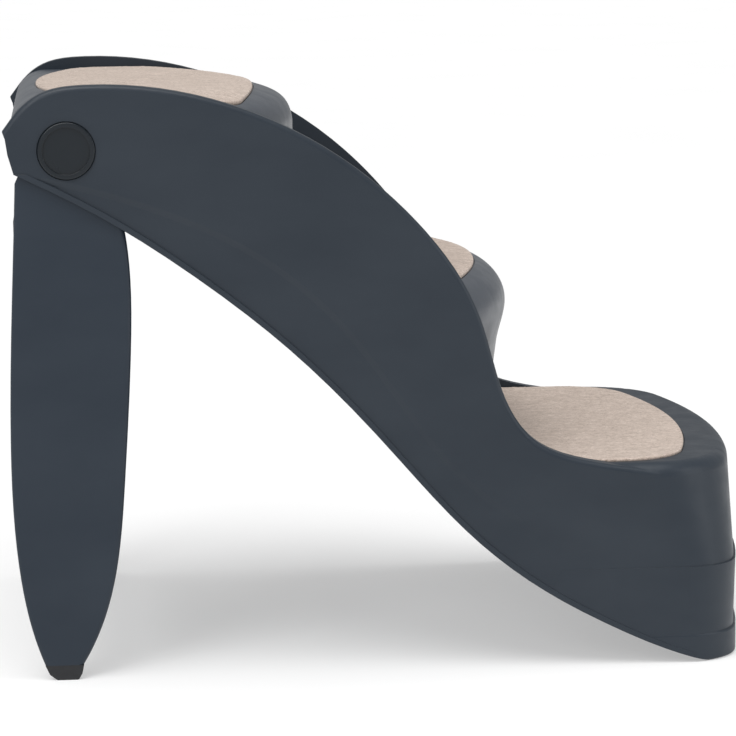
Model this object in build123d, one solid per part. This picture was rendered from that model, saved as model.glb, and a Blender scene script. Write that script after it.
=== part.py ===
from build123d import *
import math
import os

# Folding three-tread step stool, millimetres.
# X runs from the rear leg to the lowest tread, Y across the stool, Z up from the floor.

# Driving dimensions
HALF_WIDTH = 203.0  # outer face of each side wall
WALL = 2.5  # moulded wall thickness
LOW_TREAD = 166.0
MID_TREAD = 317.0
TOP_TREAD = 468.0
FLOOR_GAP = 0.6  # the shell's rim stands this far off the floor, on its pads

# Side rails: outer wall, channel for the leg blade, inner cheek
CHEEK_OUT = 190.5
CHEEK_IN = 188.5
BLADE_OUT = 199.5
BLADE_IN = 191.5
RAIL_ROUND = 4.0

# Side outline, as (X, Z)
SHOULDER = (-296.6, 454.0)
BEAK = (-304.3, 443.6)
REAR_LOW = (-296.0, 410.0)
REAR_END = [SHOULDER, BEAK, (-302.2, 438.0), (-300.4, 425.5), REAR_LOW]
TOP_CURVE = [
    SHOULDER,
    (-276.0, 472.0),
    (-240.0, 479.0),
    (-158.0, 471.5),
    (-70.0, 439.0),
    (25.0, 365.0),
    (74.5, 287.0),
    (98.0, 214.0),
    (119.0, 187.0),
    (160.0, 170.0),
    (230.0, 158.0),
]
LOW_CURVE = [
    REAR_LOW,
    (-229.0, 375.5),
    (-157.0, 328.0),
    (-82.0, 268.0),
    (-5.0, 189.0),
    (72.0, 105.0),
    (125.0, 64.0),
    (178.0, 34.0),
    (262.0, FLOOR_GAP),
]
BEAD_WIDE = (2.7, 3.6)  # the rolled lower edge, across its run
BEAD_PROUD = 0.9
BEAD_END = 250.0
CREASE = [
    (-291.0, 409.0),
    (-254.0, 403.0),
    (-189.0, 384.0),
    (-107.0, 346.0),
    (-34.0, 284.0),
    (19.0, 212.0),
    (54.0, 167.0),
    (90.0, 136.0),
    (150.0, 100.0),
]
CREASE_DEPTH = 1.1
CREASE_WIDE = 5.0

# Rounded front of the lowest step
BLOCK_REAR = 112.0
RIM_ROUND = 12.0
LEDGE_Z = 80.0
LIP_HEIGHT = 23.0
LIP_ROUND = 2.2
# Each plan outline: tip X, bow radius, corner radius, growth of each side at its front end
RIM_PLAN = (304.0, 600.0, 78.0, 0.0)
LEDGE_PLAN = (307.5, 760.0, 46.0, 0.0)
SKIRT_TOP_PLAN = (309.3, 760.0, 46.0, 0.6)
SKIRT_FOOT_PLAN = (307.0, 760.0, 46.0, 0.6)
LIP_PLAN = (309.8, 760.0, 46.0, 0.9)
DECK_X = (165.5, 172.0)  # front of the opening between the rails, front of the flat deck plate

# Step mouldings, each with a bowed nose about its own upright axis
GAP = 0.3
STEP_SIDE = 188.2
STEP_WALL = 3.0
NOSE_RADIUS = 337.0
MID_NOSE_CENTRE = -217.7
TOP_NOSE_CENTRE = -399.7
MID_REAR = -122.0
TOP_REAR = -299.0
REAR_ROUND = 26.0
MID_NOSE = {
    "centre": MID_NOSE_CENTRE,
    "points": [(300.0, MID_TREAD), (325.0, 306.0), (NOSE_RADIUS - 2.0, 287.0), (328.0, 248.0)],
    "foot": (317.0, LOW_TREAD + GAP),
}
TOP_NOSE = {
    "centre": TOP_NOSE_CENTRE,
    "points": [(282.0, TOP_TREAD), (312.0, 463.0), (330.0, 454.0), (NOSE_RADIUS, 434.0)],
    "foot": (NOSE_RADIUS, MID_TREAD + GAP),
}
NOSE_HUB = 60.0  # inner radius of the turned profile, behind every step moulding
UNDERCUT = [(-330.0, 439.2), (-120.0, 300.0)]  # nothing fixed hangs below this slope
SHELF_DROP = 6.0  # shelf top below the tread
SHELF_WIDE = 14.0
MID_SHELF = (-112.0, 20.0)
TOP_SHELF = (-284.0, -200.0)
SCREW_LINE = CHEEK_IN - 8.0
RIB_PLACES = (-120, -60, 0, 60, 120)
RIB_HALF = 1.1

# Carpets
CARPET_THICK = 3.4
RECESS = 1.2
CARPET_SIDE = 186.5
CARPET_MARGIN = 1.0
# Each carpet: front tip X and radius, corner radius, rear arc (centre X, radius, bulge sign)
LOW_CARPET = {"tip": 268.3, "front": 550.0, "corner": 58.0, "rear": (MID_NOSE_CENTRE, 323.0, 1)}
MID_CARPET = {"tip": 90.3, "front": 400.0, "corner": 46.0, "rear": (TOP_NOSE_CENTRE, 340.0, 1)}
TOP_CARPET = {"tip": -96.7, "front": 650.0, "corner": 58.0, "rear": (201.0, 480.0, -1)}
REAR_CORNER = 40.0

# Hinge
PIVOT = (-254.4, 428.1)
CAP_RADIUS = 22.65
CAP_GAP = 0.5
CAP_POCKET = 2.0
CAP_PROUD = 2.5
CAP_RIM = 3.9
BOLT_RADIUS = 6.0
BOLT_HEAD = 12.0
BUSH_RADIUS = 9.0
PAD_INNER = 199.0  # inner face of the wall where it is thickened at the hinge
PAD_RADIUS = 26.0
WASHER_RADIUS = 15.0
RUNNING = 0.05

# Leg
FOLD_ANGLE = 55.0
LEG_REAR = [
    (-295.5, 402.0),
    (-298.2, 343.0),
    (-303.5, 200.0),
    (-299.3, 94.0),
    (-288.3, 36.0),
    (-280.0, 12.0),
]
LEG_FRONT = [
    (-249.0, 12.0),
    (-232.5, 46.0),
    (-213.0, 161.0),
    (-206.3, 268.0),
    (-208.0, 353.0),
    (-220.0, 405.0),
]
HEAD_RADIUS = 37.5
NECK = (-291.9, 410.0)
BLADE_BORDER = 7.0
FRONT_EDGE_ROUND = 4.0
REAR_EDGE_ROUND = 2.5
LEG_SCREW_X = -293.0
LEG_SCREW_Z = (205.0, 350.0)
PANEL_END = 12.0  # depth of the cross panel's end blocks, along Y
PANEL_X = (-295.0, -292.0)
PANEL_Z = (186.0, 372.0)
TUBE_AT = (-275.0, 110.0)
TUBE_RADIUS = 8.0
SCREW_RADIUS = 2.0
SCREW_HEAD = 4.0
HEAD_HEIGHT = 2.4

# Fold clips and floor pads
CLIP_RIB = 60.0  # the clips are screwed to the middle step's ribs at this offset
CLIP_WIDE = 14.0
CLIP_ARM = 20.0
CLIP_SCREW_Z = 308.0
PAD_PLACES = [(295, 50), (295, -50), (281.5, 150), (281.5, -150)]
FLOOR_PAD_RADIUS = 7.0
FLOOR_PAD_HEIGHT = 9.0


def curve(points, start, finish):
    """Smooth curve through the points, leaving and arriving in the given directions."""
    return Spline(*points, tangents=[start, finish], tangent_scalars=[1, 1])


def parallel(line, distance, count=16):
    """Curve beside another one: to its left for a positive distance."""
    points = []
    for step in range(count + 1):
        at = step / count
        along = line % at
        points.append(line @ at + Vector(-along.Y, along.X) * distance)
    return curve([(p.X, p.Y) for p in points], line % 0, line % 1)


def closed(*curves):
    """Flat face inside a closed run of curves."""
    return make_face([edge for curve in curves for edge in curve.edges()])


def face_xz(*curves):
    """Closed outline drawn in X and Z."""
    return Plane.XZ * closed(*curves)


def slab(face, low, high):
    """The XZ face, made solid between two Y planes."""
    return Pos(0, low, 0) * extrude(face, amount=high - low, dir=(0, 1, 0))


def block(x, y, z):
    """Box from (low, high) pairs."""
    size = [high - low for low, high in (x, y, z)]
    centre = [(high + low) / 2 for low, high in (x, y, z)]
    return Pos(*centre) * Box(*size)


def rod(radius, x, z, low, high):
    """Cylinder along Y."""
    return Pos(x, (low + high) / 2, z) * Rot(90, 0, 0) * Cylinder(radius, high - low)


def post(radius, x, y, low, high):
    """Cylinder along Z."""
    return Pos(x, y, (low + high) / 2) * Cylinder(radius, high - low)


def mirrored(solid):
    return mirror(solid, about=Plane.XZ)


def both(solid):
    return solid + mirrored(solid)


def save(name, *shapes):
    """Writes one node, as a group when it has several solids."""
    solids = [solid for shape in shapes for solid in shape.solids()]
    whole = solids[0] if len(solids) == 1 else Compound(children=solids)
    whole.label = name
    export_step(whole, f"parts/{name}.step")


def below(line, depth=500.0):
    """Region under a two-point slope, right across the stool."""
    (x0, z0), (x1, z1) = line
    face = face_xz(Polyline((x0, z0), (x1, z1), (x1, z1 - depth), (x0, z1 - depth), (x0, z0)))
    return slab(face, -HALF_WIDTH * 2, HALF_WIDTH * 2)


# ---------------------------------------------------------------- outer shell


def plan(shape, z, inset=0.0, rear=BLOCK_REAR):
    """Plan outline at one height: straight sides and a bowed front."""
    tip, radius, corner, growth = shape
    tip, radius, corner = tip - inset, radius - inset, corner - inset
    centre = tip - radius
    side = HALF_WIDTH - inset
    ahead = side + growth
    bow = centre + math.sqrt(radius**2 - ahead**2)
    front = ThreePointArc((bow, -ahead), (tip, 0), (bow, ahead))
    face = closed(front, Polyline((bow, ahead), (rear, side), (rear, -side), (bow, -ahead)))
    corners = face.vertices().filter_by(lambda v: v.X > rear + 1)
    return Pos(0, 0, z) * fillet(corners, corner)


def beside(first, second, distance):
    """Both ends of a straight line, moved to its left."""
    run = math.dist(first, second)
    shift = ((first[1] - second[1]) / run * distance, (second[0] - first[0]) / run * distance)
    return [(x + shift[0], z + shift[1]) for x, z in (first, second)]


def crossing(first, second):
    """Where two straight lines, each given by two points, meet."""
    (x1, z1), (x2, z2) = first
    (x3, z3), (x4, z4) = second
    turn = (x2 - x1) * (z4 - z3) - (z2 - z1) * (x4 - x3)
    along = ((x3 - x1) * (z4 - z3) - (z3 - z1) * (x4 - x3)) / turn
    return x1 + along * (x2 - x1), z1 + along * (z2 - z1)


def rear_profile(inset):
    """Rear end of a rail, from its shoulder down to its low corner, moved inwards."""
    moved = [beside(a, b, inset) for a, b in zip(REAR_END, REAR_END[1:])]
    corners = [crossing(a, b) for a, b in zip(moved, moved[1:])]
    return [moved[0][0], *corners, moved[-1][1]]


def top_curve(inset):
    first = (SHOULDER[0] - BEAK[0], SHOULDER[1] - BEAK[1])
    top = curve(TOP_CURVE, first, (1, -0.2))
    return parallel(top, -inset) if inset else top


def rail_solid(inset):
    """Full-width solid under the sweeping top curve, inset all round."""
    side = HALF_WIDTH - inset
    top = top_curve(inset)
    end = top @ 1
    rear = rear_profile(inset)
    low = rear[-1]
    foot = 40.0
    under = (low[0] + foot, low[1] - 6 * foot)
    close = Polyline((end.X, end.Y), (end.X, -foot), (under[0], -foot), under, *reversed(rear))
    solid = slab(Plane.XZ * closed(top, close), -side, side)
    round_over = RAIL_ROUND - inset
    if round_over > 0:
        upper = [
            e
            for e in solid.edges()
            if abs(abs(e.center().Y) - side) < 0.01 and (e.center().Z > 442 or e.length > 600)
        ]
        solid = fillet(upper, round_over)
    return solid & extrude(plan(RIM_PLAN, -foot, inset, rear=-400.0), amount=560)


def front_solid(inset):
    """Rounded block of the lowest step, with a ledge, a skirt and a lip."""
    top = LOW_TREAD - inset
    if inset:
        below_rim = [plan(SKIRT_FOOT_PLAN, -20, inset, 60.0), plan(LEDGE_PLAN, LEDGE_Z, inset, 60.0)]
        solid = loft(below_rim) + loft([below_rim[1], plan(RIM_PLAN, top, inset, 60.0)])
    else:
        solid = loft([plan(LEDGE_PLAN, LEDGE_Z), plan(RIM_PLAN, top)])
        solid += loft([plan(SKIRT_FOOT_PLAN, FLOOR_GAP), plan(SKIRT_TOP_PLAN, LEDGE_Z)])
        lip = extrude(plan(LIP_PLAN, FLOOR_GAP), amount=LIP_HEIGHT)
        solid += fillet(lip.edges().filter_by(lambda e: e.center().X > 200 and e.length > 30), LIP_ROUND)
    rim = [e for e in solid.edges() if abs(e.center().Z - top) < 0.01 and e.center().X > 140]
    return fillet(rim, RIM_ROUND - inset)


def envelope(inset):
    return rail_solid(inset) + front_solid(inset)


def low_region():
    """Everything above the sweeping lower edge."""
    low = curve(LOW_CURVE, (0.9, -0.42), (1, -0.25))
    start, end = LOW_CURVE[0], LOW_CURVE[-1]
    far = 400.0
    close = Polyline(
        end, (far, FLOOR_GAP), (far, 600), (-far, 600), (-far, 470), (start[0] - 60, start[1] + 55), start
    )
    return closed(low, close)


def edge_bead():
    """Rolled bead along the lower edge of one side wall."""
    region = low_region()
    band = region - Pos(*BEAD_WIDE) * region
    band = slab(Plane.XZ * band, HALF_WIDTH - 1.5, HALF_WIDTH + BEAD_PROUD)
    return band & block((REAR_LOW[0], BEAD_END), (0, 300), (FLOOR_GAP, REAR_LOW[1]))


def crease_cut():
    """Shallow hollow of one side wall below the crease, dying out towards the front."""
    line = Spline(*CREASE)
    count = 12
    rows = {"above": [], "foot": [], "below": []}
    reaches = {"above": (2.5, -0.5), "foot": (-CREASE_WIDE, 1.0), "below": (-150.0, 1.0)}
    for step in range(count + 1):
        at = step / count
        point, along = line @ at, line % at
        across = Vector(-along.Y, along.X)
        depth = CREASE_DEPTH * (1 - at**4)
        for name, (reach, drop) in reaches.items():
            spot = point + across * reach
            rows[name].append((spot.X, HALF_WIDTH - depth * drop, spot.Y))
    edges = {name: Spline(*points) for name, points in rows.items()}
    bevel = Face.make_surface_from_curves(edges["above"], edges["foot"])
    floor = Face.make_surface_from_curves(edges["foot"], edges["below"])
    return [extrude(sheet, amount=5, dir=(0, 1, 0)) for sheet in (bevel, floor)]


def cheek():
    """Inner wall of one rail, from the top curve down to the treads."""
    face = face_xz(
        Polyline(
            (-320, 432.6), (-120, 300), (60, 300), (98, LOW_TREAD - WALL), (172, LOW_TREAD - WALL),
            (172, 500), (-320, 500), (-320, 432.6),
        )
    )
    return slab(face, CHEEK_IN, CHEEK_OUT)


def shelf(x, z):
    """Ledge inside one rail that a step moulding is screwed down to."""
    plate = block(x, (CHEEK_IN - SHELF_WIDE, CHEEK_IN + 1), (z - WALL, z))
    return plate - [post(SCREW_RADIUS + GAP, at, SCREW_LINE, z - 5, z + 5) for at in screw_places(x)]


def screw_places(x):
    """Three screws spaced along a shelf."""
    low, high = x
    return [low + 12, (low + high) / 2, high - 12]


def hinge_seat():
    """Thickened wall round one pivot."""
    x, z = PIVOT
    return rod(PAD_RADIUS - 1.5, x, z, PAD_INNER, HALF_WIDTH - 1)


def hinge_cut():
    """Cap pocket and bolt holes at one pivot."""
    x, z = PIVOT
    pocket = rod(CAP_RADIUS + CAP_GAP, x, z, HALF_WIDTH - CAP_POCKET, HALF_WIDTH + 5)
    hole = rod(BOLT_RADIUS + 0.2, x, z, CHEEK_IN - 5, HALF_WIDTH)
    return pocket + hole


def deck_ribs():
    """Stiffening ribs under the lowest tread."""
    depth = 40.0
    cross = block((180, 180 + 2 * RIB_HALF), (-201, 201), (LOW_TREAD - depth, LOW_TREAD - 1))
    return step_ribs((118, 292), LOW_TREAD, depth) + [cross]


def pad_bosses():
    """Pillars that carry the rubber pads at the front."""
    return [post(FLOOR_PAD_RADIUS + 2, x, y, FLOOR_PAD_HEIGHT, 60) for x, y in PAD_PLACES]


def outer_shell():
    outer = envelope(0.0)
    inner = envelope(WALL)
    low = slab(Plane.XZ * low_region(), -300, 300)
    solid = outer - inner
    opening_end, deck_end = DECK_X
    window = block((-330, opening_end), (-CHEEK_IN, CHEEK_IN), (LOW_TREAD, 520))
    solid -= window
    inside = envelope(1.2)
    deck = block((36, deck_end), (-CHEEK_OUT, CHEEK_OUT), (LOW_TREAD - WALL - 1, LOW_TREAD))
    solid += both(cheek()) & inside
    solid += deck
    solid += [rib & inside for rib in deck_ribs()]
    solid += [boss & inside for boss in pad_bosses()]
    solid += both(hinge_seat())
    for x, z in ((MID_SHELF, MID_TREAD), (TOP_SHELF, TOP_TREAD)):
        solid += both(shelf(x, z - SHELF_DROP))
    solid = solid & low
    for hollow in crease_cut():
        solid -= hollow
        solid -= mirrored(hollow)
    solid += both(edge_bead())
    solid -= both(hinge_cut())
    solid -= carpet_plan(LOW_CARPET, CARPET_MARGIN, LOW_TREAD - RECESS, 10)
    solid -= [post(FLOOR_PAD_RADIUS + 0.1, x, y, 0, FLOOR_PAD_HEIGHT) for x, y in PAD_PLACES]
    solid -= nut_room()
    return solid


def nut_room():
    """Room in the shelves for the hinge nuts."""
    x, z = PIVOT
    return both(rod(13, x, z, CHEEK_IN - 20, CHEEK_IN))


# ---------------------------------------------------------------- carpets


def carpet_plan(carpet, grow, low, height):
    """Carpet outline grown by a margin, as a solid standing on a height."""
    centre = carpet["tip"] - carpet["front"]
    front = post(carpet["front"] + grow, centre, 0, low, low + height)
    side = CARPET_SIDE + grow
    body = front & block((-400, 400), (-side, side), (low, low + height))
    rear_centre, rear_radius, bulge = carpet["rear"]
    if bulge > 0:
        body -= post(rear_radius - grow, rear_centre, 0, low - 1, low + height + 1)
        body &= block((rear_centre, 400), (-side, side), (low, low + height))
    else:
        body &= post(rear_radius + grow, rear_centre, 0, low, low + height)
    upright = body.edges().filter_by(Axis.Z)
    front_edges = upright.sort_by(Axis.X)[-2:]
    body = fillet(front_edges, carpet["corner"] + grow)
    if bulge < 0:
        rear_edges = body.edges().filter_by(Axis.Z).sort_by(Axis.X)[:2]
        body = fillet(rear_edges, REAR_CORNER)
    return body


def flat_carpet(shape, tread):
    return carpet_plan(shape, 0.0, tread - RECESS, CARPET_THICK)


def bent_carpet(shape, tread, form):
    """Carpet that follows the tread over the start of its nose."""
    tall = carpet_plan(shape, 0.0, tread - 25, 40)
    return (tall & nose(form, RECESS - CARPET_THICK)) - nose(form, RECESS)


# ---------------------------------------------------------------- step mouldings


def nose(shape, inset):
    """Bowed tread and riser turned about its upright axis, inset all round."""
    points, foot = shape["points"], shape["foot"]
    down = (foot[0] - points[-1][0], foot[1] - points[-1][1])
    bow = curve(points, (1, 0), down)
    if inset:
        bow = parallel(bow, -inset)
    start, end = bow @ 0, bow @ 1
    reach = (foot[1] - end.Y - abs(inset)) / down[1]
    toe = (end.X + down[0] * reach, end.Y + down[1] * reach)
    close = Polyline((end.X, end.Y), toe, (NOSE_HUB, toe[1]), (NOSE_HUB, start.Y), (start.X, start.Y))
    turned = revolve(Plane.XZ * closed(bow, close), axis=Axis.Z, revolution_arc=360)
    return Pos(shape["centre"], 0, 0) * turned


def bosses(x, z):
    """Screw bosses under a tread, on both sides."""
    found = []
    for at in screw_places(x):
        for y in (-SCREW_LINE, SCREW_LINE):
            found.append(post(4.5, at, y, z - SHELF_DROP + 0.2, z - 1))
    return found


def boss_holes(x, z):
    found = []
    for at in screw_places(x):
        for y in (-SCREW_LINE, SCREW_LINE):
            found.append(post(SCREW_RADIUS, at, y, z - SHELF_DROP - 1, z - RECESS - 1.0))
    return found


def step_ribs(x, z, depth):
    """Ribs under a tread, along X."""
    return [block(x, (y - RIB_HALF, y + RIB_HALF), (z - depth, z - 1)) for y in RIB_PLACES]


def step_shell(shape, rear):
    """Hollow tread and riser of one step moulding, and its outer form."""
    span = block((rear, 200), (-STEP_SIDE, STEP_SIDE), (0, 500))
    wide = block((rear - 20, 200), (-STEP_SIDE - 5, STEP_SIDE + 5), (0, 500))
    outer = nose(shape, 0.0) & span
    return outer, outer - (nose(shape, STEP_WALL) & wide)


def recess(plan_solid, shape):
    """Seat for a carpet: its plan, down to the recess depth under the tread."""
    return plan_solid - nose(shape, RECESS)


def middle_step():
    outer, solid = step_shell(MID_NOSE, MID_REAR)
    solid += [rib & outer for rib in step_ribs((MID_REAR + 2, 100), MID_TREAD, 14.0)]
    solid += bosses(MID_SHELF, MID_TREAD)
    solid -= boss_holes(MID_SHELF, MID_TREAD)
    screw_x = folded(TUBE_AT)[0] + CLIP_ARM / 2
    clip_screw = rod(SCREW_RADIUS + 0.1, screw_x, CLIP_SCREW_Z, CLIP_RIB - 3, CLIP_RIB + 3)
    solid -= both(clip_screw)
    return solid - recess(carpet_plan(MID_CARPET, CARPET_MARGIN, MID_TREAD - 25, 40), MID_NOSE)


def top_step():
    outer, solid = step_shell(TOP_NOSE, TOP_REAR)
    rear_wall = block((TOP_REAR, TOP_REAR + STEP_WALL), (-STEP_SIDE, STEP_SIDE), (400, TOP_TREAD))
    centre = (TOP_REAR + REAR_ROUND, TOP_TREAD - REAR_ROUND)
    corner = block((TOP_REAR, centre[0]), (-STEP_SIDE, STEP_SIDE), (centre[1], TOP_TREAD))
    bend = rod(REAR_ROUND, *centre, -STEP_SIDE, STEP_SIDE) - rod(
        REAR_ROUND - STEP_WALL, *centre, -STEP_SIDE - 1, STEP_SIDE + 1
    )
    solid = solid + rear_wall - corner + (bend & corner)
    inside = outer - (corner - rod(REAR_ROUND - 1, *centre, -STEP_SIDE, STEP_SIDE))
    solid += [rib & inside for rib in step_ribs((TOP_REAR + 2, -80), TOP_TREAD, 14.0)]
    solid += bosses(TOP_SHELF, TOP_TREAD)
    solid -= boss_holes(TOP_SHELF, TOP_TREAD)
    solid -= recess(carpet_plan(TOP_CARPET, CARPET_MARGIN, TOP_TREAD - 25, 40), TOP_NOSE)
    return solid - below(UNDERCUT)


def step_screws(x, z):
    found = []
    low = z - SHELF_DROP - WALL
    for at in screw_places(x):
        for y in (-SCREW_LINE, SCREW_LINE):
            screw = post(SCREW_RADIUS, at, y, low - 0.5, z - RECESS - 1.5)
            found.append(screw + post(SCREW_HEAD, at, y, low - HEAD_HEIGHT, low))
    return found


# ---------------------------------------------------------------- leg


def blade_face():
    """Outline of one leg blade, round the pivot at its head."""
    px, pz = PIVOT
    rear = Spline(*LEG_REAR)
    front = Spline(*LEG_FRONT)
    sole = Line(LEG_REAR[-1], LEG_FRONT[0])
    lean = math.radians(15.0)
    ahead = (px + HEAD_RADIUS * math.cos(lean), pz + HEAD_RADIUS * math.sin(lean))
    behind = (px - HEAD_RADIUS, pz)
    crown = ThreePointArc(ahead, (px, pz + HEAD_RADIUS), behind)
    neck = Polyline(behind, NECK, LEG_REAR[0])
    chin = Line(LEG_FRONT[-1], ahead)
    return closed(rear, sole, front, chin, crown, neck)


def blade_core():
    """Pockets in the inner face of a blade, between its border and its cross ribs."""
    rear = parallel(Spline(*LEG_REAR), BLADE_BORDER)
    front = parallel(Spline(*LEG_FRONT), BLADE_BORDER)
    ends = [rear @ 1, front @ 0, front @ 1, rear @ 0]
    sole, top = Line(ends[0], ends[1]), Line(ends[2], ends[3])
    core = closed(rear, sole, front, top)
    core &= Pos(-255, 210) * Rectangle(200, 366)
    for z in range(70, 400, 44):
        core -= Pos(-255, z) * Rectangle(200, 3)
    return core


def outer_long_edges(solid):
    """The long edges of a blade's outer face, from rear to front."""
    outer = [e for e in solid.edges() if abs(e.center().Y - BLADE_OUT) < 0.01 and e.length > 200]
    return sorted(outer, key=lambda e: e.center().X)


def leg_blade():
    """One leg blade: a smooth outer face, ribbed inside, with blind holes for the cross panel."""
    face = blade_face()
    solid = slab(Plane.XZ * face, BLADE_IN, BLADE_OUT)
    solid = fillet(outer_long_edges(solid)[-1], FRONT_EDGE_ROUND)
    solid = fillet(outer_long_edges(solid)[0], REAR_EDGE_ROUND)
    core = blade_core()
    core -= Pos(*PIVOT) * Circle(PAD_RADIUS + 6)
    core -= Pos(*TUBE_AT) * Circle(TUBE_RADIUS + 4)
    core -= [Pos(LEG_SCREW_X, z) * Circle(7) for z in LEG_SCREW_Z]
    solid -= slab(Plane.XZ * core, BLADE_IN - 1, BLADE_IN + 5)
    x, z = PIVOT
    solid -= rod(PAD_RADIUS, x, z, PAD_INNER - 1, BLADE_OUT + 1)
    solid -= rod(BUSH_RADIUS, x, z, BLADE_IN - 1, BLADE_OUT + 1)
    solid -= rod(TUBE_RADIUS, *TUBE_AT, BLADE_IN - 1, BLADE_IN + 4)
    for z in LEG_SCREW_Z:
        solid -= rod(SCREW_RADIUS, LEG_SCREW_X, z, BLADE_IN - 1, BLADE_OUT - 1.5)
    return solid


def leg_cross_panel():
    """Ribbed panel that joins the two blades behind the stool."""
    rear, front = PANEL_X
    low, high = PANEL_Z
    half = BLADE_IN
    arch = Pos(0, low - 330) * Circle(370)
    sheet = Pos(0, (low + high) / 2) * Rectangle(2 * half, high - low)
    sheet = Plane.YZ * (sheet - arch)
    solid = Pos(rear, 0, 0) * extrude(sheet, amount=front - rear, dir=(1, 0, 0))
    ribs = [block((rear - 2.4, rear + 1), (-half, half), (z, z + 4)) for z in (250, 290, 330, 368)]
    ribs += [block((rear - 2.4, rear + 1), (y - 2, y + 2), (226, 372)) for y in RIB_PLACES]
    ends = [block((rear - 2.4, front + 1.2), (half - PANEL_END, half), (low + 6, high))]
    ends.append(mirrored(ends[0]))
    solid = solid + ribs + ends
    for z in LEG_SCREW_Z:
        solid -= both(rod(SCREW_RADIUS, LEG_SCREW_X, z, half - PANEL_END - 5, half + 1))
        solid -= both(rod(SCREW_HEAD, LEG_SCREW_X, z, half - PANEL_END - 20, half - PANEL_END + HEAD_HEIGHT))
    return solid


def leg_screws():
    """Screws from inside the cross panel's end blocks into the blades."""
    found = []
    head = BLADE_IN - PANEL_END
    for z in LEG_SCREW_Z:
        screw = rod(SCREW_RADIUS, LEG_SCREW_X, z, head, BLADE_OUT - 2.0)
        screw += rod(SCREW_HEAD - 0.1, LEG_SCREW_X, z, head, head + HEAD_HEIGHT)
        found += [screw, mirrored(screw)]
    return found


def leg_brace_tube():
    end = BLADE_IN + 4.0
    return rod(TUBE_RADIUS, *TUBE_AT, -end, end) - rod(TUBE_RADIUS - 1.5, *TUBE_AT, -end - 1, end + 1)


def leg_foot():
    """Rubber tip moulded on to the end of one blade."""
    sole = [(-250.5, 5.0), (-253.5, 0.0), (-270.5, 0.0), (-276.5, 4.5)]
    outline = Polyline(LEG_REAR[-1], LEG_FRONT[0], *sole, LEG_REAR[-1])
    tip = slab(face_xz(outline), BLADE_IN, BLADE_OUT)
    return fillet(tip.edges().filter_by(Axis.Y).group_by(Axis.Z)[0], 2.0)


# ---------------------------------------------------------------- hinge hardware


def hinge_bolt():
    x, z = PIVOT
    seat = HALF_WIDTH - CAP_POCKET
    bolt = rod(BOLT_RADIUS, x, z, CHEEK_IN - 9, seat + 0.5)
    head = rod(BOLT_HEAD, x, z, seat, seat + 1.9)
    socket = Pos(x, seat + 2.4, z) * Rot(90, 0, 0) * extrude(RegularPolygon(3.5, 6), amount=1.2, both=True)
    return bolt + head - socket


def hinge_bush():
    x, z = PIVOT
    face = PAD_INNER - 1.0
    sleeve = rod(BUSH_RADIUS, x, z, BLADE_IN, face)
    return sleeve - rod(BOLT_RADIUS + RUNNING, x, z, BLADE_IN - 1, face + 1)


def hinge_washers():
    x, z = PIVOT
    found = []
    for low, high in ((PAD_INNER - 0.95, PAD_INNER - 0.0), (CHEEK_OUT, CHEEK_OUT + 0.95)):
        ring = rod(WASHER_RADIUS, x, z, low, high) - rod(BOLT_RADIUS + RUNNING, x, z, low - 1, high + 1)
        found.append(ring)
    return found


def hinge_nut():
    x, z = PIVOT
    body = Pos(x, CHEEK_IN - 6, z) * Rot(-90, 0, 0) * extrude(RegularPolygon(10.5, 6), amount=6)
    return body - rod(BOLT_RADIUS, x, z, CHEEK_IN - 8, CHEEK_IN + 1)


def hinge_cap():
    """Snap-in cap: a raised rim round a recessed face, hollow over the bolt head."""
    x, z = PIVOT
    low = HALF_WIDTH - CAP_POCKET
    high = HALF_WIDTH + CAP_PROUD
    body = rod(CAP_RADIUS, x, z, low, high)
    outer = body.edges().filter_by(GeomType.CIRCLE).sort_by(Axis.Y)[-1]
    body = fillet(outer, 1.3)
    body -= rod(CAP_RADIUS - CAP_RIM, x, z, high - 1.5, high + 1)
    body -= rod(BOLT_HEAD + 2.5, x, z, low - 1, low + 2.1)
    return body


# ---------------------------------------------------------------- small pieces


def leg_stop_pads():
    """Rubber stops between the opened leg and the end of each rail."""
    room = block((-303, -292.6), (BLADE_IN + 0.5, BLADE_OUT), (413, 424))
    pad = room & slab(Plane.XZ * inner_profile(), 0, 300)
    return [pad, mirrored(pad)]


def inner_profile():
    """Rail section behind the pivot, inside the rear wall."""
    corners = rear_profile(WALL)[1:]
    beak, low = corners[0], corners[-1]
    return closed(Polyline(*corners, (-200, low[1]), (-200, beak[1]), beak))


def folded(point):
    """Where a point of the leg goes when the leg is folded."""
    angle = math.radians(FOLD_ANGLE)
    dx, dz = point[0] - PIVOT[0], point[1] - PIVOT[1]
    x = PIVOT[0] + dx * math.cos(angle) - dz * math.sin(angle)
    z = PIVOT[1] + dx * math.sin(angle) + dz * math.cos(angle)
    return x, z


def fold_clip():
    """Forked clip under the middle step that the brace tube enters when the leg folds."""
    x, z = folded(TUBE_AT)
    reach = math.degrees(math.atan2(z - PIVOT[1], x - PIVOT[0]))
    low = CLIP_RIB + RIB_HALF + 0.2
    high = low + CLIP_WIDE
    fork = Rectangle(2 * TUBE_RADIUS + 8.6, 26) - Pos(0, -5) * Rectangle(2 * TUBE_RADIUS + 1.6, 26)
    fork = Plane.XZ * (Pos(x, z) * Rot(0, 0, reach) * Pos(0, 1) * fork)
    top = MID_TREAD - STEP_WALL - 0.5
    arm = block((x, x + CLIP_ARM), (low, high), (z + 12, top))
    clip = slab(fork, low, high) + arm
    clip -= rod(TUBE_RADIUS + 0.8, x, z, low - 1, high + 1)
    return clip - rod(SCREW_RADIUS, x + CLIP_ARM / 2, CLIP_SCREW_Z, low - 1, low + 10)


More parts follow.
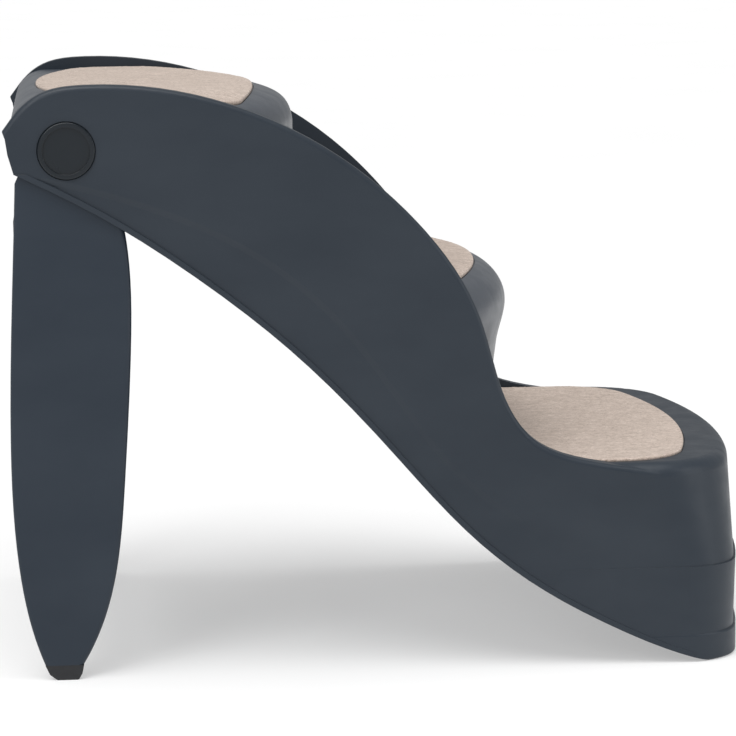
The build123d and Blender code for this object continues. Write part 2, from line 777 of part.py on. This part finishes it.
def fold_clip_screw():
    x = folded(TUBE_AT)[0] + CLIP_ARM / 2
    rib = CLIP_RIB - RIB_HALF
    shank = rod(SCREW_RADIUS, x, CLIP_SCREW_Z, rib - 1, rib + 11)
    return shank + rod(SCREW_HEAD, x, CLIP_SCREW_Z, rib - HEAD_HEIGHT, rib)


def base_pads():
    return [post(FLOOR_PAD_RADIUS, x, y, 0, FLOOR_PAD_HEIGHT) for x, y in PAD_PLACES]


def main():
    os.makedirs("parts", exist_ok=True)
    save("outer_shell", outer_shell())
    save("middle_step", middle_step())
    save("top_step", top_step())
    save("bottom_carpet", flat_carpet(LOW_CARPET, LOW_TREAD))
    save("middle_carpet", bent_carpet(MID_CARPET, MID_TREAD, MID_NOSE))
    save("top_carpet", bent_carpet(TOP_CARPET, TOP_TREAD, TOP_NOSE))
    save("middle_step_screws", *step_screws(MID_SHELF, MID_TREAD))
    save("top_step_screws", *step_screws(TOP_SHELF, TOP_TREAD))
    save("leg_cross_panel", leg_cross_panel())
    save("leg_brace_tube", leg_brace_tube())
    save("leg_screws", *leg_screws())
    save("leg_stop_pads", *leg_stop_pads())
    save("base_pads", *base_pads())
    save("fold_clips", fold_clip(), mirrored(fold_clip()))
    save("fold_clip_screws", fold_clip_screw(), mirrored(fold_clip_screw()))
    sided = {
        "leg_blade": leg_blade(),
        "leg_foot": leg_foot(),
        "hinge_bolt": hinge_bolt(),
        "hinge_bush": hinge_bush(),
        "hinge_nut": hinge_nut(),
        "hinge_cap": hinge_cap(),
    }
    for name, solid in sided.items():
        save(f"{name}_left", solid)
        save(f"{name}_right", mirrored(solid))
    washers = hinge_washers()
    save("hinge_washers_left", *washers)
    save("hinge_washers_right", *[mirrored(washer) for washer in washers])


main()
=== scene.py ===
"""Three-tread folding step stool: looks, felt carpets, floor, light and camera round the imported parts."""

import math

import bmesh
import bpy
import numpy as np
from mathutils import Matrix, Vector
from mathutils.bvhtree import BVHTree
from mathutils.geometry import delaunay_2d_cdt


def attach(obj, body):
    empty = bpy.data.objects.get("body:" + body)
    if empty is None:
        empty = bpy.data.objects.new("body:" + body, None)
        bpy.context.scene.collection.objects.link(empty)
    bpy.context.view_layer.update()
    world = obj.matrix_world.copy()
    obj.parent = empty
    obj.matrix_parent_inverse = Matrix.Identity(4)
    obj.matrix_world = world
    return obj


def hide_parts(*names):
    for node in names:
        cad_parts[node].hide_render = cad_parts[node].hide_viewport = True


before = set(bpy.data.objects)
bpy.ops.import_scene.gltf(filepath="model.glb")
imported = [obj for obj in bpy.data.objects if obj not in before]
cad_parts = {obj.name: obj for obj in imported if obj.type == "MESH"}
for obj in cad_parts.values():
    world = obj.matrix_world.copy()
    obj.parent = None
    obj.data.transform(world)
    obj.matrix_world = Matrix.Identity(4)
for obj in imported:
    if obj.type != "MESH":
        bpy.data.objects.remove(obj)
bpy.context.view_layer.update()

MM = 0.001

# Camera: a long lens on the stool's right-hand side, a little above it
CAMERA_PLACE = (-0.2500, -2.7402, 0.6494)
CAMERA_YAW = 5.239
CAMERA_PITCH = 8.905
CAMERA_ROLL = -0.446
CAMERA_LENS = 157.41
CAMERA_SENSOR = 36.0

# Carpet pads
PILE_CELL = 2.0 * MM
PILE_JITTER = 0.3
PILE_RELIEF = 0.2 * MM
EDGE_ROUND = 1.2 * MM
EDGE_RINGS = ((0.35, 0.25), (0.0, 1.0), (0.0, None))  # shares of the rounding: inwards, downwards; None is the foot
RIM_CLEAR = 0.7  # free strip between the rim and the first pile points, in cells
SEED = 7
LONGEST_BEND = 12 * MM
PROFILE_POINTS = 60

# Plastic
BEVEL = 0.7 * MM  # softens the moulded edges in the shading
PLASTIC_SPECULAR = 0.35
PLASTIC_GRAIN = 0.05 * MM

# Studio
FLOOR_HALF = 14.0
FLOOR_GLOW = 0.4
AIR_LIGHT = 0.42
OVERHEAD = 2.1
OVERHEAD_SPREAD = 50
OVERHEAD_TILT = (12, -8)


# ---------------------------------------------------------------- materials

def material(name):
    """A new node material, its shader and a function that adds a node with its inputs set."""
    made = bpy.data.materials.new(name)
    made.use_nodes = True
    tree = made.node_tree
    shader = tree.nodes["Principled BSDF"]

    def add(kind, **inputs):
        node = tree.nodes.new(kind)
        for key, value in inputs.items():
            node.inputs[key.replace("_", " ")].default_value = value
        return node

    return made, shader, tree, add


def place_node(tree, add, stretch=(1, 1, 1)):
    """Coordinates in metres that stay with the piece, stretched along its axes."""
    place = add("ShaderNodeTexCoord")
    mapping = add("ShaderNodeMapping", Scale=stretch)
    tree.links.new(place.outputs["Object"], mapping.inputs["Vector"])
    return mapping.outputs["Vector"]


def noise(tree, add, place, scale, detail=3.0, roughness=0.5):
    node = add("ShaderNodeTexNoise", Scale=scale, Detail=detail, Roughness=roughness)
    tree.links.new(place, node.inputs["Vector"])
    return node.outputs["Fac"]


def spread(tree, add, value, low, high, start=0.3, end=0.7):
    """Maps a value between start and end onto low to high."""
    node = add("ShaderNodeMapRange", From_Min=start, From_Max=end, To_Min=low, To_Max=high)
    tree.links.new(value, node.inputs["Value"])
    return node.outputs["Result"]


def ramp(tree, add, value, stops):
    node = add("ShaderNodeValToRGB")
    band = node.color_ramp
    while len(band.elements) < len(stops):
        band.elements.new(0.5)
    for element, (place, colour) in zip(band.elements, stops):
        element.position = place
        element.color = (*colour, 1)
    tree.links.new(value, node.inputs["Fac"])
    return node.outputs["Color"]


def bump(tree, add, height, distance, strength=1.0, normal=None):
    node = add("ShaderNodeBump", Strength=strength, Distance=distance)
    tree.links.new(height, node.inputs["Height"])
    if normal is not None:
        tree.links.new(normal, node.inputs["Normal"])
    return node.outputs["Normal"]


def moulded(name, dark, light, gloss=(0.38, 0.5)):
    """Injection-moulded plastic: fine spark-eroded grain, slow flow marks, slightly uneven gloss."""
    made, shader, tree, add = material(name)
    place = place_node(tree, add)
    flow = noise(tree, add, place_node(tree, add, (1, 1, 2.2)), 9, 4, 0.55)
    fine = noise(tree, add, place, 1600, 2)
    smudge = noise(tree, add, place, 45, 5, 0.6)
    colour = ramp(tree, add, flow, [(0.25, dark), (0.75, light)])
    tree.links.new(colour, shader.inputs["Base Color"])
    tree.links.new(spread(tree, add, smudge, *gloss), shader.inputs["Roughness"])
    soft = add("ShaderNodeBevel", Radius=BEVEL)
    soft.samples = 4
    wave = bump(tree, add, noise(tree, add, place, 28, 2), 0.25 * MM, 0.35, soft.outputs["Normal"])
    tree.links.new(bump(tree, add, fine, PLASTIC_GRAIN, 0.8, wave), shader.inputs["Normal"])
    shader.inputs["IOR"].default_value = 1.49
    shader.inputs["Specular IOR Level"].default_value = PLASTIC_SPECULAR
    return made


def felt(name):
    """Short needle-felt carpet: matted fibres of several beiges, lying mostly along the tread."""
    made, shader, tree, add = material(name)
    place = place_node(tree, add)
    along = place_node(tree, add, (1, 1.6, 1))
    patches = noise(tree, add, place_node(tree, add, (1, 2, 1)), 60, 5, 0.65)
    mat = noise(tree, add, along, 300, 6, 0.75)
    specks = noise(tree, add, place, 620, 3, 0.6)
    base = ramp(tree, add, mat, [(0.3, (0.35, 0.28, 0.235)), (0.5, (0.56, 0.46, 0.395)), (0.7, (0.74, 0.635, 0.565))])
    cloud = ramp(tree, add, patches, [(0.32, (0.8, 0.79, 0.78)), (0.62, (1, 1, 1))])
    fleck = ramp(tree, add, specks, [(0.3, (0.5, 0.46, 0.43)), (0.42, (1, 1, 1))])
    mixed = base
    for tint in (cloud, fleck):
        mix = add("ShaderNodeMix")
        mix.data_type = "RGBA"
        mix.blend_type = "MULTIPLY"
        mix.inputs["Factor"].default_value = 1
        tree.links.new(mixed, mix.inputs["A"])
        tree.links.new(tint, mix.inputs["B"])
        mixed = mix.outputs["Result"]
    tree.links.new(mixed, shader.inputs["Base Color"])
    shader.inputs["Roughness"].default_value = 0.95
    shader.inputs["Specular IOR Level"].default_value = 0.15
    shader.inputs["Sheen Weight"].default_value = 0.35
    shader.inputs["Sheen Roughness"].default_value = 0.5
    shader.inputs["Sheen Tint"].default_value = (0.95, 0.88, 0.82, 1)
    hair = bump(tree, add, specks, 0.35 * MM, 0.9)
    tree.links.new(bump(tree, add, mat, 0.6 * MM, 0.8, hair), shader.inputs["Normal"])
    return made


def plated(name):
    """Zinc-plated steel: fine turning marks and a cloudy bright surface."""
    made, shader, tree, add = material(name)
    place = place_node(tree, add)
    cloud = noise(tree, add, place, 140, 5, 0.65)
    colour = ramp(tree, add, cloud, [(0.3, (0.42, 0.43, 0.45)), (0.7, (0.66, 0.67, 0.69))])
    tree.links.new(colour, shader.inputs["Base Color"])
    shader.inputs["Metallic"].default_value = 1.0
    tree.links.new(spread(tree, add, cloud, 0.25, 0.45), shader.inputs["Roughness"])
    marks = noise(tree, add, place_node(tree, add, (1, 0.08, 1)), 2600, 3)
    tree.links.new(bump(tree, add, marks, 0.03 * MM, 0.6), shader.inputs["Normal"])
    return made


def soft_rubber(name):
    """Matt black rubber with a dusty bloom."""
    made, shader, tree, add = material(name)
    place = place_node(tree, add)
    bloom = noise(tree, add, place, 160, 5, 0.6)
    colour = ramp(tree, add, bloom, [(0.3, (0.012, 0.013, 0.015)), (0.75, (0.03, 0.031, 0.034))])
    tree.links.new(colour, shader.inputs["Base Color"])
    tree.links.new(spread(tree, add, bloom, 0.7, 0.9), shader.inputs["Roughness"])
    grain = noise(tree, add, place, 2200, 3)
    tree.links.new(bump(tree, add, grain, 0.06 * MM, 0.8), shader.inputs["Normal"])
    return made


def pale_floor(name):
    """White translucent table, lit a little from below."""
    made, shader, tree, add = material(name)
    place = place_node(tree, add)
    tone = ramp(tree, add, noise(tree, add, place, 3, 3), [(0.3, (0.56, 0.56, 0.56)), (0.7, (0.58, 0.58, 0.58))])
    tree.links.new(tone, shader.inputs["Base Color"])
    shader.inputs["Emission Color"].default_value = (1, 1, 1, 1)
    shader.inputs["Emission Strength"].default_value = FLOOR_GLOW
    shader.inputs["Roughness"].default_value = 0.9
    shader.inputs["Specular IOR Level"].default_value = 0.1
    return made


def finishes():
    """One material for each of the record's slots."""
    return {
        "shell_plastic": moulded("shell_plastic_look", (0.017, 0.025, 0.036), (0.025, 0.034, 0.046)),
        # The tread mouldings get a lighter grey than the shell: painted light, standing in for the brighter lit upper
        # faces of the treads.
        "step_plastic": moulded("step_plastic_lit_tops_look", (0.056, 0.066, 0.082), (0.070, 0.080, 0.096), (0.3, 0.42)),
        "leg_plastic": moulded("leg_plastic_look", (0.014, 0.023, 0.036), (0.021, 0.031, 0.045)),
        "cap_plastic": moulded("cap_plastic_look", (0.006, 0.010, 0.014), (0.010, 0.014, 0.019), (0.25, 0.35)),
        "clip_plastic": moulded("clip_plastic_look", (0.016, 0.017, 0.019), (0.026, 0.027, 0.03)),
        "bearing_plastic": moulded("bearing_plastic_look", (0.68, 0.66, 0.60), (0.76, 0.74, 0.69), (0.3, 0.45)),
        "carpet": felt("carpet_look"),
        "rubber": soft_rubber("rubber_look"),
        "steel": plated("steel_look"),
    }


# ---------------------------------------------------------------- carpets

def outline(node):
    """The closed line, seen from above, round the top face of a CAD pad, as points in order."""
    mesh = bmesh.new()
    mesh.from_mesh(node.data)
    bmesh.ops.remove_doubles(mesh, verts=mesh.verts, dist=0.01 * MM)
    rim = {}
    for edge in mesh.edges:
        if len(edge.link_faces) == 2:
            ups = sorted(face.normal.z for face in edge.link_faces)
            if ups[0] < 0.2 and ups[1] > 0.2:
                a, b = edge.verts
                rim.setdefault(a.index, []).append(b.index)
                rim.setdefault(b.index, []).append(a.index)
    mesh.verts.ensure_lookup_table()
    start = next(iter(rim))
    loop, before = [start], None
    while True:
        step = [k for k in rim[loop[-1]] if k != before]
        before = loop[-1]
        if step[0] == start:
            break
        loop.append(step[0])
    points = [mesh.verts[k].co.copy() for k in loop]
    mesh.free()
    return points


def evenly(points, step):
    """The same closed line with a point about every step."""
    flat = np.array([(p.x, p.y) for p in points])
    flat = np.vstack([flat, flat[:1]])
    run = np.concatenate([[0], np.cumsum(np.linalg.norm(np.diff(flat, axis=0), axis=1))])
    count = int(run[-1] / step)
    at = np.linspace(0, run[-1], count, endpoint=False)
    return np.column_stack([np.interp(at, run, flat[:, k]) for k in (0, 1)])


def inset(ring, distance):
    """The closed line moved inwards."""
    along = np.roll(ring, -1, axis=0) - np.roll(ring, 1, axis=0)
    along /= np.linalg.norm(along, axis=1)[:, None]
    area = np.sum(ring[:, 0] * np.roll(ring[:, 1], -1) - ring[:, 1] * np.roll(ring[:, 0], -1))
    side = 1 if area > 0 else -1
    return ring + side * distance * np.column_stack([-along[:, 1], along[:, 0]])


def inside(points, ring, clear):
    """Which points lie within the closed line, and clear of it."""
    x, y = points[:, 0][:, None], points[:, 1][:, None]
    ax, ay = ring[:, 0][None], ring[:, 1][None]
    bx, by = np.roll(ring, -1, axis=0)[:, 0][None], np.roll(ring, -1, axis=0)[:, 1][None]
    crosses = (ay > y) != (by > y)
    run = np.where(by == ay, 1, by - ay)
    left = x < ax + (y - ay) * (bx - ax) / run
    odd = np.sum(crosses & left, axis=1) % 2 == 1
    gap = np.min(np.hypot(x - ax, y - ay), axis=1)
    return odd & (gap > clear)


def heights(tree, points, up):
    """Height of the pad's top (or underside) at each plan point."""
    start, way = (1.0, -1) if up else (-1.0, 1)
    found = []
    for x, y in points:
        hit = tree.ray_cast(Vector((x, y, start)), Vector((0, 0, way)))[0]
        if hit is None:
            hit = tree.find_nearest(Vector((x, y, 0.3)))[0]
        found.append(hit.z)
    return np.array(found)


def pad_plan(ring, rng):
    """Plan points of a pad, its triangles, and which points make its rim. The grid is jittered, like matted pile."""
    rim_line = inset(ring, EDGE_ROUND)
    low, high = ring.min(axis=0), ring.max(axis=0)
    xs, ys = (np.arange(low[k], high[k], PILE_CELL) for k in (0, 1))
    grid = np.array(np.meshgrid(xs, ys)).reshape(2, -1).T
    grid += rng.uniform(-PILE_JITTER, PILE_JITTER, grid.shape) * PILE_CELL
    grid = grid[inside(grid, rim_line, RIM_CLEAR * PILE_CELL)]
    count = len(ring)
    start = [Vector(p) for p in np.vstack([rim_line, grid])]
    points, _, faces, origins, _, _ = delaunay_2d_cdt(start, [], [list(range(count))], 1, 1e-7)
    home = {source[0]: k for k, source in enumerate(origins) if source}
    plan = np.array([(p.x, p.y) for p in points])
    return plan, [list(face) for face in faces], [home[k] for k in range(count)]


def pad_shape(ring, plan, triangles, rim, top, under, rng):
    """Points and faces of a closed pad: piled top, underside on its seat, and the rounded cut edge between them."""
    count = len(ring)
    relief = rng.normal(0, PILE_RELIEF / 2, len(plan)).clip(-PILE_RELIEF, PILE_RELIEF) - PILE_RELIEF / 2
    points = [(x, y, z + rise) for (x, y), z, rise in zip(plan, top, relief)]
    points += [(x, y, z) for (x, y), z in zip(plan, under)]
    faces = triangles + [[k + len(plan) for k in reversed(face)] for face in triangles]
    rings = [rim]
    for reach, drop in EDGE_RINGS:
        line = inset(ring, EDGE_ROUND * reach)
        level = [under[k] if drop is None else top[k] - EDGE_ROUND * drop for k in rim]
        fray = rng.normal(0, PILE_RELIEF / 3, (count, 2)).clip(-PILE_RELIEF, 0)
        rings.append(list(range(len(points), len(points) + count)))
        points += [(x + dx, y + dy, z) for (x, y), (dx, dy), z in zip(line, fray, level)]
    rings.append([k + len(plan) for k in rim])
    for upper, lower in zip(rings, rings[1:]):
        for k in range(count):
            after = (k + 1) % count
            faces.append([upper[k], lower[k], lower[after], upper[after]])
    return points, faces


def smooth_mesh(name, points, faces):
    """A smooth-shaded mesh with its faces turned outwards."""
    mesh = bpy.data.meshes.new(name)
    mesh.from_pydata([tuple(map(float, p)) for p in points], [], faces)
    shape = bmesh.new()
    shape.from_mesh(mesh)
    bmesh.ops.recalc_face_normals(shape, faces=shape.faces)
    shape.to_mesh(mesh)
    shape.free()
    mesh.shade_smooth()
    return mesh


def cut_size(solid, ring, plan, triangles, top):
    """Flat cut (width, length) and felt area of a pad, with its bend over the nose laid out flat."""
    area = 0.0
    corners = np.column_stack([plan, top])
    for face in triangles:
        a, b, c = corners[face]
        area += np.linalg.norm(np.cross(b - a, c - a)) / 2
    area += len(ring) * PILE_CELL * EDGE_ROUND
    low, high = ring.min(axis=0), ring.max(axis=0)
    middle = np.linspace(low[0] + EDGE_ROUND, high[0] - EDGE_ROUND, PROFILE_POINTS)
    profile = heights(solid, [(x, 0) for x in middle], True)
    bend = np.sum(np.hypot(np.diff(middle), np.diff(profile)) - np.diff(middle))
    bend = min(max(bend, 0), LONGEST_BEND)
    return (float(high[1] - low[1]), float(high[0] - low[0] + bend)), float(area)


def felt_pad(name, node, seed):
    """A cut felt pad with matted pile, a softly rounded cut edge and an underside that follows its seat."""
    rng = np.random.default_rng(seed)
    ring = evenly(outline(node), PILE_CELL)
    plan, triangles, rim = pad_plan(ring, rng)
    solid = BVHTree.FromPolygons([v.co for v in node.data.vertices], [p.vertices[:] for p in node.data.polygons])
    top, under = heights(solid, plan, True), heights(solid, plan, False)
    points, faces = pad_shape(ring, plan, triangles, rim, top, under, rng)
    mesh = smooth_mesh(name, points, faces)
    mesh.materials.append(looks["carpet"])
    pad = bpy.data.objects.new(name, mesh)
    bpy.context.scene.collection.objects.link(pad)
    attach(pad, "steps")
    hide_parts(node.name)
    flat, area = cut_size(solid, ring, plan, triangles, top)


# ---------------------------------------------------------------- camera, light and floor

def camera():
    """The view that the stool is looked at from."""
    data = bpy.data.cameras.new("camera")
    data.lens = CAMERA_LENS
    data.sensor_width = CAMERA_SENSOR
    data.clip_start = 0.1
    data.clip_end = 60
    made = bpy.data.objects.new("camera", data)
    bpy.context.scene.collection.objects.link(made)
    yaw, pitch, roll = (math.radians(a) for a in (CAMERA_YAW, CAMERA_PITCH, CAMERA_ROLL))
    turn = Matrix.Rotation(-yaw, 4, "Z") @ Matrix.Rotation(math.pi / 2 - pitch, 4, "X")
    made.matrix_world = Matrix.Translation(CAMERA_PLACE) @ turn @ Matrix.Rotation(roll, 4, "Z")
    bpy.context.scene.camera = made


def softbox(name, place, target, size, power):
    """Rectangular soft light aimed at a point."""
    data = bpy.data.lights.new(name, "AREA")
    data.shape = "RECTANGLE"
    data.size, data.size_y = size
    data.energy = power
    made = bpy.data.objects.new(name, data)
    bpy.context.scene.collection.objects.link(made)
    made.location = place
    made.rotation_euler = (Vector(target) - Vector(place)).to_track_quat("-Z", "Y").to_euler()


def overhead_light():
    """Broad soft light from above."""
    data = bpy.data.lights.new("overhead", "SUN")
    data.energy = OVERHEAD
    data.angle = math.radians(OVERHEAD_SPREAD)
    made = bpy.data.objects.new("overhead", data)
    bpy.context.scene.collection.objects.link(made)
    made.rotation_euler = (*(math.radians(a) for a in OVERHEAD_TILT), 0)


def studio_air():
    """White surroundings that are seen at full strength but light the stool more weakly."""
    world = bpy.data.worlds.new("studio_air")
    bpy.context.scene.world = world
    world.use_nodes = True
    tree = world.node_tree
    air = tree.nodes["Background"]
    air.inputs["Color"].default_value = (1, 1, 1, 1)
    seen = tree.nodes.new("ShaderNodeLightPath")
    level = tree.nodes.new("ShaderNodeMapRange")
    level.inputs["To Min"].default_value = AIR_LIGHT
    level.inputs["To Max"].default_value = 1.0
    tree.links.new(seen.outputs["Is Camera Ray"], level.inputs["Value"])
    tree.links.new(level.outputs["Result"], air.inputs["Strength"])


def floor():
    h = FLOOR_HALF
    mesh = bpy.data.meshes.new("studio_floor")
    mesh.from_pydata([(-h, -h, 0), (h, -h, 0), (h, h, 0), (-h, h, 0)], [], [(0, 1, 2, 3)])
    made = bpy.data.objects.new("studio_floor", mesh)
    bpy.context.scene.collection.objects.link(made)
    mesh.materials.append(pale_floor("floor_look"))


def studio():
    bpy.context.scene.view_settings.view_transform = "Standard"
    studio_air()
    overhead_light()
    floor()
    softbox("key", (-1.2, -1.5, 1.4), (-0.35, -0.2, 0.45), (0.8, 0.8), 10)
    softbox("corner_strip", (1.5, -0.7, 0.7), (0.3, 0, 0.1), (0.5, 1.2), 5)


looks = finishes()
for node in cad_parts.values():
    slot_name = node.data.materials[0].name.split(".")[0]
    node.material_slots[0].material = looks[slot_name]
felt_pad("felt_pad_low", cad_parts["bottom_carpet"], SEED)
felt_pad("felt_pad_middle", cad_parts["middle_carpet"], SEED + 1)
felt_pad("felt_pad_top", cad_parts["top_carpet"], SEED + 2)
camera()
studio()
